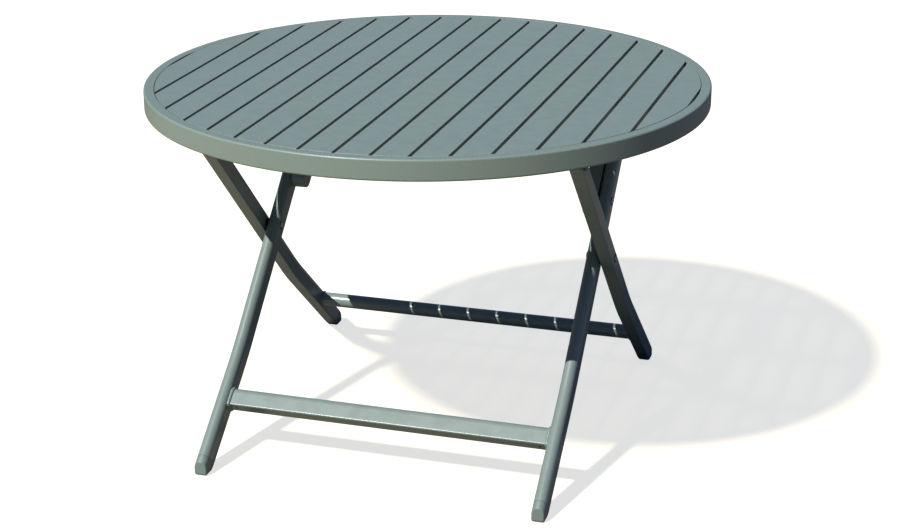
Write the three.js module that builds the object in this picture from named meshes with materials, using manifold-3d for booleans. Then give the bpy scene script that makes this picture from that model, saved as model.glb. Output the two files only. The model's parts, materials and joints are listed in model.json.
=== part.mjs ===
// Folding picnic table: a round slatted top on two crossed leg frames.
// Millimetres. +Z is up, +Y is the way the slats run, +X runs along the cross rails.
// The origin is on the ground, under the middle of the top.
import * as THREE from "three";
import { mergeVertices } from "three/addons/utils/BufferGeometryUtils.js";
import Module from "manifold-3d";

// ---------- driving dimensions ----------
const TABLE_HEIGHT = 716;
const TOP_RADIUS = 550;
const TOUCH_GAP = 0.3; // between welded or seated pieces
const OVERCUT = 1; // how far a cutting tool runs past the face that it cuts

// rim: a rolled rectangular tube
const RIM_WIDTH = 20;
const RIM_HEIGHT = 40;
const RIM_WALL = 1.8;
const RIM_CORNER = 4;
const RIM_INNER_CORNER = 1;
const RIM_CORNER_MIDDLE = 0.3; // share of the corner left at its middle point
const RIM_FACETS = 120;
const DRAIN_RADIUS = 3;
const DRAIN_COUNT = 4;
const DRAIN_FACETS = 10;

// slats: hollow extrusions, with a lip along each side of a narrower body
const SLAT_COUNT = 16;
const SLAT_WIDTH = 59.6;
const SLAT_PITCH = 66;
const SLAT_THICKNESS = 12;
const SLAT_BODY_WIDTH = 56;
const SLAT_LIP = 2.4;
const SLAT_WALL = 1.4;
const SLAT_END_GAP = 0.5; // from the slat ends to the rim's inner wall

// battens across the underside
const BATTEN_WIDTH = 30;
const BATTEN_HEIGHT = 20;
const BATTEN_WALL = 1.5;
const MIDDLE_BATTEN_Y = 12;

// legs: D-section tube, flat on one deep side and rounded on the other
const LEG_WIDTH = 26;
const LEG_DEPTH = 40;
const LEG_ROUND_DEPTH = 14; // how far the rounded side bulges
const LEG_CORNER = 2.5;
const LEG_INNER_CORNER = 0.6; // least corner of the hollow
const LEG_ARC_STEPS = 10;
const LEG_WALL = 2;
const LEG_OVERRUN = 10; // tube beyond the axis at its upper end
const CAP_THICKNESS = 2;
const CAP_PLUG_LENGTH = 4;
const AXIS_REACH = 390; // scissor pivot to each upper axis
const BEND_RADIUS = 900;
const BEND_STEPS = 6;

// scissor pivot, the same for both frames
const PIVOT_Y = 11;
const PIVOT_Z = 376;

// per frame: which way the feet go, distance of the leg from the middle, leans from vertical
const OUTER = { name: "outer", way: 1, x: 367, lean: 45, footLean: 50, bendZ: 220 };
const INNER = { name: "inner", way: -1, x: 337.5, lean: 46, footLean: 51.5, bendZ: 171 };

// feet: moulded caps over the leg ends
const FOOT_LENGTH = 38; // along the leg, measured on its centre line down to the ground
const FOOT_BEVEL = 29; // height of the upright bevel on the rounded side
const FOOT_BLANK_LENGTH = 150; // before the ground and the bevel cut it off
const PLUG_LENGTH = 22;
const PLUG_CLEARANCE = 0.3;

// cross rails; the front one is the legs' own tube, rounded side up
const FRONT_RAIL_Y = -274.3;
const FRONT_RAIL_Z = 106.9;
const RAIL_WALL = 1.8;
const VENT_RADIUS = 2.6;
const VENT_INSET = 15;
const BACK_RAIL_Y = 312;
const BACK_RAIL_Z = 98;
const BACK_RAIL_RADIUS = 15;
const CROSSBAR_RADIUS = 12.5;
const ROUND_FACETS = 24;

// fasteners
const BOLT_RADIUS = 4;
const HOLE_RADIUS = 4.3;
const HEAD_RADIUS = 6.5;
const HEAD_HEIGHT = 2.2;
const LOW_HEAD_HEIGHT = 2; // heads that turn in the gap between the frames
const NUT_RADIUS = 6.5;
const NUT_HEIGHT = 2.2;
const SPACER_RADIUS = 11;
const BOLT_FACETS = 16;

// arms: bars bolted along the inner faces of the inner legs, with half-round ends
const ARM_START = 114; // scissor pivot to the middle of the arm's lower round end
const ARM_RADIUS = 20;
const ARM_THICKNESS = 28;
const ARM_WALL = 3;
const ARM_BOSS_RADIUS = 8;
const ARM_BOLT_DEPTH = 18;
const ARM_BOLTS = [{ name: "low", along: 124 }, { name: "high", along: 330 }]; // from the scissor pivot

// hinge brackets at the outer frame's upper axis
const EAR_THICKNESS = 2;
const EAR_GAP = 0.5;
const EAR_RADIUS = 14;
const BRACKET_BASE = 3;
const BRACKET_LENGTH = 60;

// saddles that the inner frame's crossbar sits in
const SADDLE_X = 190;
const SADDLE_WIDTH = 34;
const SADDLE_STOP = 8; // wall on the closed side of the crossbar
const SADDLE_STOP_DROP = 4; // how far that wall reaches below the crossbar's axis
const SADDLE_ROOF_OVERRUN = 9; // roof past the crossbar on the open side

// ---------- materials ----------
const paintTop = new THREE.MeshStandardMaterial({ color: 0x839291, roughness: 0.55, metalness: 0.25 });
const paintLeg = new THREE.MeshStandardMaterial({ color: 0x7d8a87, roughness: 0.5, metalness: 0.3 });
const plastic = new THREE.MeshStandardMaterial({ color: 0x5d6866, roughness: 0.6, metalness: 0 });
const steel = new THREE.MeshStandardMaterial({ color: 0x8d9290, roughness: 0.35, metalness: 0.9 });
const nylon = new THREE.MeshStandardMaterial({ color: 0x232525, roughness: 0.6, metalness: 0 });

// ---------- solid helpers ----------
const wasm = await Module();
wasm.setup();
const MERGE_DISTANCE = 1e-4;

function toSolid(geometry) {
  const bare = geometry.clone();
  bare.deleteAttribute("normal");
  bare.deleteAttribute("uv");
  const merged = mergeVertices(bare, MERGE_DISTANCE);
  const vertProperties = new Float32Array(merged.attributes.position.array);
  const triVerts = new Uint32Array(merged.index.array);
  return new wasm.Manifold(new wasm.Mesh({ numProp: 3, vertProperties, triVerts }));
}

function toGeometry(solid) {
  const mesh = solid.getMesh();
  const geometry = new THREE.BufferGeometry();
  geometry.setAttribute("position", new THREE.BufferAttribute(mesh.vertProperties, 3));
  geometry.setIndex(new THREE.BufferAttribute(mesh.triVerts, 1));
  geometry.computeVertexNormals();
  return geometry;
}

function cut(base, ...tools) {
  return tools.reduce((solid, tool) => solid.subtract(tool), base);
}

const table = new THREE.Group();
table.name = "folding_picnic_table";

function addMesh(name, solid, material) {
  const mesh = new THREE.Mesh(toGeometry(solid), material);
  mesh.name = name;
  table.add(mesh);
}

// A solid cylinder along X, from one x to another.
function cylinderX(x0, x1, y, z, radius, facets = BOLT_FACETS) {
  const geometry = new THREE.CylinderGeometry(radius, radius, Math.abs(x1 - x0), facets);
  geometry.rotateZ(Math.PI / 2);
  geometry.translate((x0 + x1) / 2, y, z);
  return toSolid(geometry);
}

// A solid cylinder along Z.
function cylinderZ(x, y, z0, z1, radius, facets) {
  const geometry = new THREE.CylinderGeometry(radius, radius, z1 - z0, facets);
  geometry.rotateX(Math.PI / 2);
  geometry.translate(x, y, (z0 + z1) / 2);
  return toSolid(geometry);
}

// A box between two corners.
function block(low, high) {
  const size = high.map((value, i) => value - low[i]);
  const geometry = new THREE.BoxGeometry(...size);
  geometry.translate(...low.map((value, i) => value + size[i] / 2));
  return toSolid(geometry);
}

// A shape drawn in the YZ plane and extruded along X.
function extrudeX(shape, x0, x1) {
  const geometry = new THREE.ExtrudeGeometry(shape, { depth: x1 - x0, bevelEnabled: false });
  const yToX = new THREE.Matrix4().set(0, 0, 1, x0, 1, 0, 0, 0, 0, 1, 0, 0, 0, 0, 0, 1);
  geometry.applyMatrix4(yToX);
  return toSolid(geometry);
}

function polygon(points) {
  return new THREE.Shape(points.map(([a, b]) => new THREE.Vector2(a, b)));
}

function rectangle(width, height) {
  const w = width / 2;
  const h = height / 2;
  return [[-w, -h], [w, -h], [w, h], [-w, h]];
}

// A rectangle with a rectangular hollow, open at both ends once extruded.
function boxTube(width, height, wall) {
  const shape = polygon(rectangle(width, height));
  shape.holes.push(polygon(rectangle(width - 2 * wall, height - 2 * wall)));
  return shape;
}

// ---------- top ----------
const slatTop = TABLE_HEIGHT;
const slatBottom = slatTop - SLAT_THICKNESS;
const battenBottom = slatBottom - TOUCH_GAP - BATTEN_HEIGHT;
const rimInnerRadius = TOP_RADIUS - RIM_WIDTH;
const fieldRadius = rimInnerRadius - SLAT_END_GAP;

function ring(inner, outer, bottom, top, corner) {
  const middle = corner * RIM_CORNER_MIDDLE;
  const points = [
    [inner, bottom], [outer - corner, bottom], [outer, bottom + corner],
    [outer, top - corner], [outer - middle, top - middle], [outer - corner, top], [inner, top],
    [inner, bottom],
  ];
  const geometry = new THREE.LatheGeometry(points.map(([r, h]) => new THREE.Vector2(r, h)), RIM_FACETS);
  geometry.rotateX(Math.PI / 2);
  return toSolid(geometry);
}

function makeRim() {
  const bottom = TABLE_HEIGHT - RIM_HEIGHT;
  const outside = ring(rimInnerRadius, TOP_RADIUS, bottom, TABLE_HEIGHT, RIM_CORNER);
  const hollow = ring(
    rimInnerRadius + RIM_WALL, TOP_RADIUS - RIM_WALL, bottom + RIM_WALL, TABLE_HEIGHT - RIM_WALL,
    RIM_INNER_CORNER,
  );
  const middle = TOP_RADIUS - RIM_WIDTH / 2;
  const drains = Array.from({ length: DRAIN_COUNT }, (_, i) => {
    const angle = ((i + 0.5) * 2 * Math.PI) / DRAIN_COUNT;
    const x = middle * Math.cos(angle);
    const y = middle * Math.sin(angle);
    return cylinderZ(x, y, bottom - OVERCUT, bottom + 2 * RIM_WALL, DRAIN_RADIUS, DRAIN_FACETS);
  });
  addMesh("rim", cut(outside, hollow, ...drains), paintTop);
}

// The slat's section, level with its middle, with one chamber in the body.
function slatShape() {
  const lipX = SLAT_WIDTH / 2;
  const bodyX = SLAT_BODY_WIDTH / 2;
  const high = SLAT_THICKNESS / 2;
  const lipZ = high - SLAT_LIP;
  const shape = polygon([
    [-bodyX, -high], [bodyX, -high], [bodyX, lipZ], [lipX, lipZ],
    [lipX, high], [-lipX, high], [-lipX, lipZ], [-bodyX, lipZ],
  ]);
  shape.holes.push(polygon(rectangle(2 * (bodyX - SLAT_WALL), 2 * (high - SLAT_WALL))));
  return shape;
}

function makeSlats() {
  const field = cylinderZ(0, 0, slatBottom - OVERCUT, slatTop + OVERCUT, fieldRadius, RIM_FACETS);
  for (let i = 0; i < SLAT_COUNT; i += 1) {
    const x = (i - (SLAT_COUNT - 1) / 2) * SLAT_PITCH;
    const geometry = new THREE.ExtrudeGeometry(slatShape(), {
      depth: 2 * TOP_RADIUS,
      bevelEnabled: false,
    });
    geometry.translate(0, 0, -TOP_RADIUS);
    geometry.rotateX(-Math.PI / 2);
    geometry.translate(x, 0, (slatTop + slatBottom) / 2);
    const name = `slat_${String(i + 1).padStart(2, "0")}`;
    addMesh(name, toSolid(geometry).intersect(field), paintTop);
  }
}

function makeBatten(name, y) {
  const field = cylinderZ(0, 0, battenBottom - OVERCUT, slatBottom, fieldRadius, RIM_FACETS);
  const middleZ = battenBottom + BATTEN_HEIGHT / 2;
  const shape = boxTube(BATTEN_WIDTH, BATTEN_HEIGHT, BATTEN_WALL);
  const bar = extrudeX(shape, -TOP_RADIUS, TOP_RADIUS).translate([0, y, middleZ]);
  addMesh(name, bar.intersect(field), paintLeg);
}

// ---------- legs ----------
// Unit vectors in the YZ plane: down the leg, and out through its rounded side.
function downLeg(frame, lean) {
  const angle = THREE.MathUtils.degToRad(lean);
  return new THREE.Vector2(frame.way * Math.sin(angle), -Math.cos(angle));
}

function outLeg(frame, lean) {
  const angle = THREE.MathUtils.degToRad(lean);
  return new THREE.Vector2(frame.way * Math.cos(angle), Math.sin(angle));
}

const pivot = new THREE.Vector2(PIVOT_Y, PIVOT_Z);

// The point on the straight upper part, a distance up from the scissor pivot.
function upLeg(frame, distance) {
  return pivot.clone().addScaledVector(downLeg(frame, frame.lean), -distance);
}

// Points down the leg's centre line with the lean at each: straight, a gentle arc, straight.
function legStations(frame) {
  const turn = frame.footLean - frame.lean;
  const stepLength = (BEND_RADIUS * THREE.MathUtils.degToRad(turn)) / BEND_STEPS;
  const straight = downLeg(frame, frame.lean);
  const toBend = (PIVOT_Z - frame.bendZ) / -straight.y - (stepLength * BEND_STEPS) / 2;
  const stations = [
    { point: upLeg(frame, AXIS_REACH + LEG_OVERRUN), lean: frame.lean },
    { point: upLeg(frame, -toBend), lean: frame.lean },
  ];
  for (let i = 1; i <= BEND_STEPS; i += 1) {
    const lean = frame.lean + (turn * i) / BEND_STEPS;
    const chordLean = lean - turn / BEND_STEPS / 2;
    const chord = downLeg(frame, chordLean).multiplyScalar(stepLength);
    stations.push({ point: stations.at(-1).point.clone().add(chord), lean });
  }
  return stations;
}

// Where the leg's centre line meets the ground.
function groundPoint(frame) {
  const last = legStations(frame).at(-1);
  const down = downLeg(frame, frame.footLean);
  return last.point.clone().addScaledVector(down, last.point.y / -down.y);
}

// The tube's section with its hollow, open at both ends once extruded.
function dTube() {
  const shape = polygon(dSection(0));
  shape.holes.push(polygon(dSection(LEG_WALL)));
  return shape;
}

// D-section, x across the leg and y out through the rounded side, shrunk by an inset.
function dSection(inset) {
  const w = LEG_WIDTH / 2 - inset;
  const low = -LEG_DEPTH / 2 + inset;
  const spring = LEG_DEPTH / 2 - LEG_ROUND_DEPTH;
  const bulge = LEG_ROUND_DEPTH - inset;
  const corner = Math.max(LEG_CORNER - inset, LEG_INNER_CORNER);
  const points = [[-w + corner, low], [w - corner, low], [w, low + corner]];
  for (let i = 0; i <= LEG_ARC_STEPS; i += 1) {
    const angle = (Math.PI * i) / LEG_ARC_STEPS;
    points.push([w * Math.cos(angle), spring + bulge * Math.sin(angle)]);
  }
  points.push([-w, low + corner]);
  return points;
}

// Sweeps a shape down a list of stations; x is the leg's own middle.
function sweep(shape, frame, x, stations) {
  const steps = stations.length - 1;
  const geometry = new THREE.ExtrudeGeometry(shape, { depth: steps, steps, bevelEnabled: false });
  const position = geometry.attributes.position;
  for (let i = 0; i < position.count; i += 1) {
    const { point, lean } = stations[Math.round(position.getZ(i))];
    const out = outLeg(frame, lean).multiplyScalar(position.getY(i));
    // the section is mirrored for one way, so that every swept solid faces out
    position.setXYZ(i, x - frame.way * position.getX(i), point.x + out.x, point.y + out.y);
  }
  return toSolid(geometry);
}

const BIG = 2000; // side of a cutting block larger than the whole table

// Along the foot: the seam where the tube ends and the moulded foot begins.
function seamStation(frame, beyond = 0) {
  const down = downLeg(frame, frame.footLean);
  const point = groundPoint(frame).addScaledVector(down, beyond - FOOT_LENGTH);
  return { point, lean: frame.footLean };
}

function makeLeg(frame, side, holes) {
  const x = side.sign * frame.x;
  const stations = [...legStations(frame), seamStation(frame)];
  const drills = holes.map((point) =>
    cylinderX(x - LEG_WIDTH, x + LEG_WIDTH, point.x, point.y, HOLE_RADIUS));
  addMesh(`${frame.name}_leg_${side.name}`, cut(sweep(dTube(), frame, x, stations), ...drills), paintLeg);
}

function makeLegCap(frame, side) {
  const x = side.sign * frame.x;
  const station = (distance) => ({ point: upLeg(frame, distance), lean: frame.lean });
  const end = AXIS_REACH + LEG_OVERRUN + TOUCH_GAP;
  const lid = sweep(polygon(dSection(0)), frame, x, [station(end + CAP_THICKNESS), station(end)]);
  const plugSection = polygon(dSection(LEG_WALL + PLUG_CLEARANCE));
  const plug = sweep(plugSection, frame, x, [station(end + OVERCUT), station(end - CAP_PLUG_LENGTH)]);
  addMesh(`${frame.name}_cap_${side.name}`, lid.add(plug), plastic);
}

function makeFoot(frame, side) {
  const x = side.sign * frame.x;
  const blank = [seamStation(frame, TOUCH_GAP), seamStation(frame, FOOT_BLANK_LENGTH)];
  const boot = sweep(polygon(dSection(0)), frame, x, blank);
  const plugSection = polygon(dSection(LEG_WALL + PLUG_CLEARANCE));
  const inside = [seamStation(frame, -PLUG_LENGTH), seamStation(frame, OVERCUT)];
  const plug = sweep(plugSection, frame, x, inside);
  const crown = outLeg(frame, frame.footLean).multiplyScalar(LEG_DEPTH / 2);
  const down = downLeg(frame, frame.footLean);
  const crownPoint = groundPoint(frame).add(crown);
  const bevelY = crownPoint.x + (down.x * (crownPoint.y - FOOT_BEVEL)) / -down.y;
  const underground = block([x - BIG, -BIG, -BIG], [x + BIG, BIG, 0]);
  const lowY = frame.way > 0 ? bevelY : bevelY - BIG;
  const beyondBevel = block([x - BIG, lowY, -BIG], [x + BIG, lowY + BIG, BIG]);
  addMesh(`${frame.name}_foot_${side.name}`, cut(boot.add(plug), underground, beyondBevel), plastic);
}

// ---------- cross rails ----------
function roundTube(radius, wall, halfLength, y, z) {
  const reach = halfLength + OVERCUT;
  const outside = cylinderX(-halfLength, halfLength, y, z, radius, ROUND_FACETS);
  return cut(outside, cylinderX(-reach, reach, y, z, radius - wall, ROUND_FACETS));
}

function makeRails() {
  const innerSpan = INNER.x - LEG_WIDTH / 2 - TOUCH_GAP;
  const armSpan = innerSpan - ARM_THICKNESS - TOUCH_GAP;
  const outerSpan = OUTER.x - LEG_WIDTH / 2 - TOUCH_GAP;
  const lean = THREE.MathUtils.degToRad(INNER.footLean);
  const rail = extrudeX(dTube(), -innerSpan, innerSpan);
  const vents = [-1, 1].map((sign) => {
    const x = sign * (innerSpan - VENT_INSET);
    return cylinderZ(x, 0, -LEG_DEPTH, -LEG_DEPTH / 4, VENT_RADIUS, BOLT_FACETS);
  });
  const leanDegrees = THREE.MathUtils.radToDeg(-lean);
  const placed = cut(rail, ...vents).rotate([leanDegrees, 0, 0]);
  addMesh("front_rail", placed.translate([0, FRONT_RAIL_Y, FRONT_RAIL_Z]), paintLeg);
  const backRail = roundTube(BACK_RAIL_RADIUS, RAIL_WALL, outerSpan, BACK_RAIL_Y, BACK_RAIL_Z);
  addMesh("back_rail", backRail, paintLeg);
  const bar = upLeg(INNER, AXIS_REACH);
  addMesh("crossbar", roundTube(CROSSBAR_RADIUS, RAIL_WALL, armSpan, bar.x, bar.y), paintLeg);
}

// ---------- fasteners ----------
// A shaft with a wider head at its first end; x positions are for the +X side.
function bolt(side, point, head0, head1, tip) {
  const x = (value) => side.sign * value;
  const shaft = cylinderX(x(head1), x(tip), point.x, point.y, BOLT_RADIUS);
  return cylinderX(x(head0), x(head1), point.x, point.y, HEAD_RADIUS).add(shaft);
}

function makePivot(side) {
  const outerFace = OUTER.x + LEG_WIDTH / 2;
  const innerFace = INNER.x - LEG_WIDTH / 2;
  const gapLow = INNER.x + LEG_WIDTH / 2;
  const gapHigh = OUTER.x - LEG_WIDTH / 2;
  const head1 = outerFace + TOUCH_GAP;
  const nut1 = innerFace - TOUCH_GAP;
  const nut0 = nut1 - NUT_HEIGHT;
  addMesh(`pivot_bolt_${side.name}`, bolt(side, pivot, head1 + HEAD_HEIGHT, head1, nut0), steel);
  const washer = cylinderX(
    side.sign * (gapLow + TOUCH_GAP), side.sign * (gapHigh - TOUCH_GAP), pivot.x, pivot.y, SPACER_RADIUS,
  );
  const bore = cylinderX(side.sign * nut0, side.sign * outerFace, pivot.x, pivot.y, HOLE_RADIUS);
  addMesh(`pivot_spacer_${side.name}`, cut(washer, bore), nylon);
  const nut = cylinderX(side.sign * nut0, side.sign * nut1, pivot.x, pivot.y, NUT_RADIUS);
  const thread = cylinderX(
    side.sign * (nut0 - OVERCUT), side.sign * (nut1 + OVERCUT), pivot.x, pivot.y, HOLE_RADIUS,
  );
  addMesh(`pivot_nut_${side.name}`, cut(nut, thread), steel);
}

// ---------- arms ----------
// A bar with half-round ends, from the arm's start up to the crossbar's axis.
function armShape(radius) {
  const low = upLeg(INNER, ARM_START);
  const high = upLeg(INNER, AXIS_REACH);
  const along = Math.atan2(high.y - low.y, high.x - low.x);
  const quarter = Math.PI / 2;
  const shape = new THREE.Shape();
  shape.absarc(low.x, low.y, radius, along + quarter, along + 3 * quarter, false);
  shape.absarc(high.x, high.y, radius, along - quarter, along + quarter, false);
  return shape;
}

// The arm is hollow towards the leg, with a boss round each bolt.
function makeArm(side) {
  const legIn = INNER.x - LEG_WIDTH / 2 - TOUCH_GAP;
  const legOut = INNER.x + LEG_WIDTH / 2 + TOUCH_GAP;
  const floor = legIn - ARM_THICKNESS;
  const span = (a, b) => [side.sign * a, side.sign * b].sort((p, q) => p - q);
  const body = extrudeX(armShape(ARM_RADIUS), ...span(floor, legIn));
  const pocket = extrudeX(armShape(ARM_RADIUS - ARM_WALL), ...span(floor + ARM_WALL, legIn + OVERCUT));
  let arm = cut(body, pocket);
  for (const { name, along } of ARM_BOLTS) {
    const point = upLeg(INNER, along);
    const boss = cylinderX(
      side.sign * (floor + ARM_WALL / 2), side.sign * legIn, point.x, point.y, ARM_BOSS_RADIUS, ROUND_FACETS,
    );
    const tip = legIn - ARM_BOLT_DEPTH;
    const drill = cylinderX(
      side.sign * (tip - OVERCUT), side.sign * (legIn + OVERCUT), point.x, point.y, HOLE_RADIUS,
    );
    arm = cut(arm.add(boss), drill);
    const armBolt = bolt(side, point, legOut + LOW_HEAD_HEIGHT, legOut, tip);
    addMesh(`arm_bolt_${name}_${side.name}`, armBolt, steel);
  }
  addMesh(`arm_${side.name}`, arm, paintLeg);
}

// ---------- hinge brackets and saddles under the top ----------
const hingePoint = upLeg(OUTER, AXIS_REACH);

function makeHinge(side) {
  const earIn = OUTER.x - LEG_WIDTH / 2 - EAR_GAP;
  const earOut = OUTER.x + LEG_WIDTH / 2 + EAR_GAP;
  const baseTop = battenBottom - TOUCH_GAP;
  const baseBottom = baseTop - BRACKET_BASE;
  const { x: y, y: z } = hingePoint;
  const half = BRACKET_LENGTH / 2;
  const ear = new THREE.Shape();
  ear.moveTo(y - half, baseTop);
  ear.lineTo(y - half, baseBottom);
  ear.lineTo(y - EAR_RADIUS, z);
  ear.absarc(y, z, EAR_RADIUS, Math.PI, 2 * Math.PI, false);
  ear.lineTo(y + half, baseBottom);
  ear.lineTo(y + half, baseTop);
  const span = (a, b) => [side.sign * a, side.sign * b].sort((p, q) => p - q);
  const nearEar = extrudeX(ear, ...span(earIn - EAR_THICKNESS, earIn));
  const farEar = extrudeX(ear, ...span(earOut, earOut + EAR_THICKNESS));
  const [x0, x1] = span(earIn - EAR_THICKNESS, earOut + EAR_THICKNESS);
  const base = block([x0, y - half, baseBottom], [x1, y + half, baseTop]);
  const hole = cylinderX(x0 - OVERCUT, x1 + OVERCUT, y, z, HOLE_RADIUS);
  addMesh(`hinge_bracket_${side.name}`, cut(base.add(nearEar).add(farEar), hole), steel);
  const head1 = earOut + EAR_THICKNESS + TOUCH_GAP;
  const hingeBolt = bolt(side, hingePoint, head1 + HEAD_HEIGHT, head1, earIn - EAR_THICKNESS);
  addMesh(`hinge_bolt_${side.name}`, hingeBolt, steel);
}

function makeSaddle(side) {
  const { x: y, y: z } = upLeg(INNER, AXIS_REACH);
  const reach = CROSSBAR_RADIUS + TOUCH_GAP;
  const top = battenBottom - TOUCH_GAP;
  const profile = new THREE.Shape();
  profile.moveTo(y - reach - SADDLE_STOP, top);
  profile.lineTo(y - reach - SADDLE_STOP, z - SADDLE_STOP_DROP);
  profile.lineTo(y - reach, z - SADDLE_STOP_DROP);
  profile.lineTo(y - reach, z);
  profile.absarc(y, z, reach, Math.PI, Math.PI / 2, true);
  profile.lineTo(y + SADDLE_ROOF_OVERRUN, z + reach);
  profile.lineTo(y + SADDLE_ROOF_OVERRUN, top);
  const middle = side.sign * SADDLE_X;
  const solid = extrudeX(profile, middle - SADDLE_WIDTH / 2, middle + SADDLE_WIDTH / 2);
  addMesh(`saddle_${side.name}`, solid, nylon);
}

// ---------- assembly ----------
makeRim();
makeSlats();
makeBatten("batten_front", hingePoint.x);
makeBatten("batten_middle", MIDDLE_BATTEN_Y);
makeBatten("batten_back", upLeg(INNER, AXIS_REACH).x);
makeRails();
const armBoltPoints = ARM_BOLTS.map(({ along }) => upLeg(INNER, along));
for (const side of [{ name: "left", sign: -1 }, { name: "right", sign: 1 }]) {
  makeLeg(OUTER, side, [pivot, hingePoint]);
  makeLeg(INNER, side, [pivot, ...armBoltPoints]);
  for (const frame of [OUTER, INNER]) {
    makeLegCap(frame, side);
    makeFoot(frame, side);
  }
  makePivot(side);
  makeArm(side);
  makeHinge(side);
  makeSaddle(side);
}

export default table;
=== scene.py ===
"""Folding picnic table: the finished looks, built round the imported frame. Metres, +Z up."""
import json
import math

import bmesh
import bpy
from mathutils import Matrix, Vector


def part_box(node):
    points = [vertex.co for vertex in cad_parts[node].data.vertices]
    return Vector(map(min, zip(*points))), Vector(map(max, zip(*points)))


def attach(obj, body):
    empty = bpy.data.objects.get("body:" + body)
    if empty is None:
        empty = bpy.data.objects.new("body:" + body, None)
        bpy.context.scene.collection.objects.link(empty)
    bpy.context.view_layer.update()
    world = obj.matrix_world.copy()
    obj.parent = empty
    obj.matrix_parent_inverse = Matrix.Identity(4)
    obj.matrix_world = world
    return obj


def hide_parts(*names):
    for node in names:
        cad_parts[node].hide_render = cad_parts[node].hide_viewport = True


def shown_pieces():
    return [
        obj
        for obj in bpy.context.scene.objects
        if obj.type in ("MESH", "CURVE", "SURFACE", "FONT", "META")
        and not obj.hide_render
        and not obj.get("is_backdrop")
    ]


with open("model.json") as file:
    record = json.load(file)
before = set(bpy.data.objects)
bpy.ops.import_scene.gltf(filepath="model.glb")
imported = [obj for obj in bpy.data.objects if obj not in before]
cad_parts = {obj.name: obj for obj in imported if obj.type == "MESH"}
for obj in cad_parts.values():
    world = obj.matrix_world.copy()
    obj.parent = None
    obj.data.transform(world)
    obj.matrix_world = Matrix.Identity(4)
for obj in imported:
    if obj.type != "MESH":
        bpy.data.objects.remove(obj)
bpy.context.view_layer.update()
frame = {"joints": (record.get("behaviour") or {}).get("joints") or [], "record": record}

# ---------- what the frame says ----------
record = frame["record"]
SLOT_OF = {part["node"]: part["material_slot"] for part in record["subparts"]}
BODY_OF = {node: body for body, nodes in record["behaviour"]["bodies"].items() for node in nodes}
JOINT_AT = {joint["name"]: Vector(joint["pos_m"]) for joint in frame["joints"]}
PIVOT = JOINT_AT["scissor_pivot"]
HINGE = JOINT_AT["top_hinge"]
SIDES = (("left", -1), ("right", 1))


def middle(node):
    low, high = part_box(node)
    return (low + high) / 2


CROSSBAR = middle("crossbar")

# ---------- driving dimensions ----------
MM = 0.001
TOUCH_GAP = 0.3 * MM

RIM_WIDTH = 20 * MM
RIM_CORNER = 4 * MM
RIM_INNER_CORNER = 0.8 * MM
RIM_SEGMENTS = 320
DRAIN_RADIUS = 3 * MM
DRAIN_DEPTH = 16 * MM
DRAIN_COUNT = 4
SMALL_HOLE_STEPS = 24

SLAT_COUNT = 16
SLAT_BODY_WIDTH = 57 * MM
SLAT_LIP = 2.4 * MM
SLAT_EDGE = 0.6 * MM
SLAT_LIP_STEP = 0.05 * MM
SLAT_END_GAP = 1.0 * MM
SAMPLE_STEP = 2.5 * MM
BAR_END_EDGE = 0.5 * MM
BATTEN_CORNER = 2 * MM

LEG_WIDTH = 26 * MM
LEG_DEPTH = 40 * MM
LEG_ROUND_DEPTH = 14 * MM
LEG_CORNER = 2.5 * MM
LEAST_CORNER = 0.3 * MM
CORNER_STEPS = 5
LEG_ARC_STEPS = 28
LEG_OVERRUN = 10 * MM
BEND_RADIUS = 900 * MM
BEND_STEPS = 14
SEAM_EDGE = 0.35 * MM
CAP_THICKNESS = 2 * MM
CAP_EDGE = 0.7 * MM

FOOT_LENGTH = 38 * MM
FOOT_BEVEL = 29 * MM
FOOT_ROUND = 4.5 * MM
FOOT_STEPS = 16
FLAT_ENOUGH = math.radians(1.5)

VENT_RADIUS = 2.6 * MM
VENT_INSET = 15 * MM
VENT_DEPTH = 8 * MM
ROUND_STEPS = 56

HOLE_RADIUS = 4.3 * MM
BOLT_RADIUS = 4 * MM
BOLT_TIP_EDGE = 0.6 * MM
HEAD_EDGE = 0.3 * MM
HEAD_RADIUS = 6.5 * MM
HEAD_HEIGHT = 2.2 * MM
LOW_HEAD_HEIGHT = 2 * MM
DOME_STEPS = 8
DOME_FOOT = 0.35  # of the head's height
DOME_CROWN = 0.6  # of the head's radius
NUT_RADIUS = 6.5 * MM
NUT_EDGE = 0.9 * MM
SOCKET_RADIUS = 2.6 * MM
SOCKET_DEPTH = 1.6 * MM
SOCKET_SHARE = 0.7  # at most this much of the head's height
SOCKET_LEAD = 0.1 * MM
SOCKET_CONE = 0.5 * MM
SOCKET_TIP = 0.3 * MM
RING_INNER = 6.7 * MM
RING_OUTER = 8.4 * MM
RING_HEIGHT = 0.9 * MM
RING_LIFT = 0.05 * MM
SPACER_RADIUS = 11 * MM
SPACER_EDGE = 0.5 * MM
TURN_STEPS = 48
FASTENER_SHARP = 50

ARM_ROUND = 1.4 * MM
ARM_RADIUS = 20 * MM
ARM_END_STEPS = 22

EAR_THICKNESS = 2 * MM
EAR_RADIUS = 14 * MM
EAR_STEPS = 24
BRACKET_BEND = 4 * MM
BRACKET_INNER_BEND = 1.2 * MM
BRACKET_EDGE = 0.45 * MM
RIVET_INSET = (10 * MM, 6 * MM)
RIVET_STEPS = 20

SADDLE_STOP = 8 * MM
SADDLE_STOP_DROP = 4 * MM
SADDLE_ROOF_OVERRUN = 9 * MM
SADDLE_ARC_STEPS = 20
SADDLE_EDGE = 0.6 * MM
GROOVE_INSET = 9 * MM
GROOVE_WIDTH = 4.4 * MM
GROOVE_DEPTH = 2 * MM
GROOVE_RISE = 5 * MM
GROOVE_ROOF = 3 * MM

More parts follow.
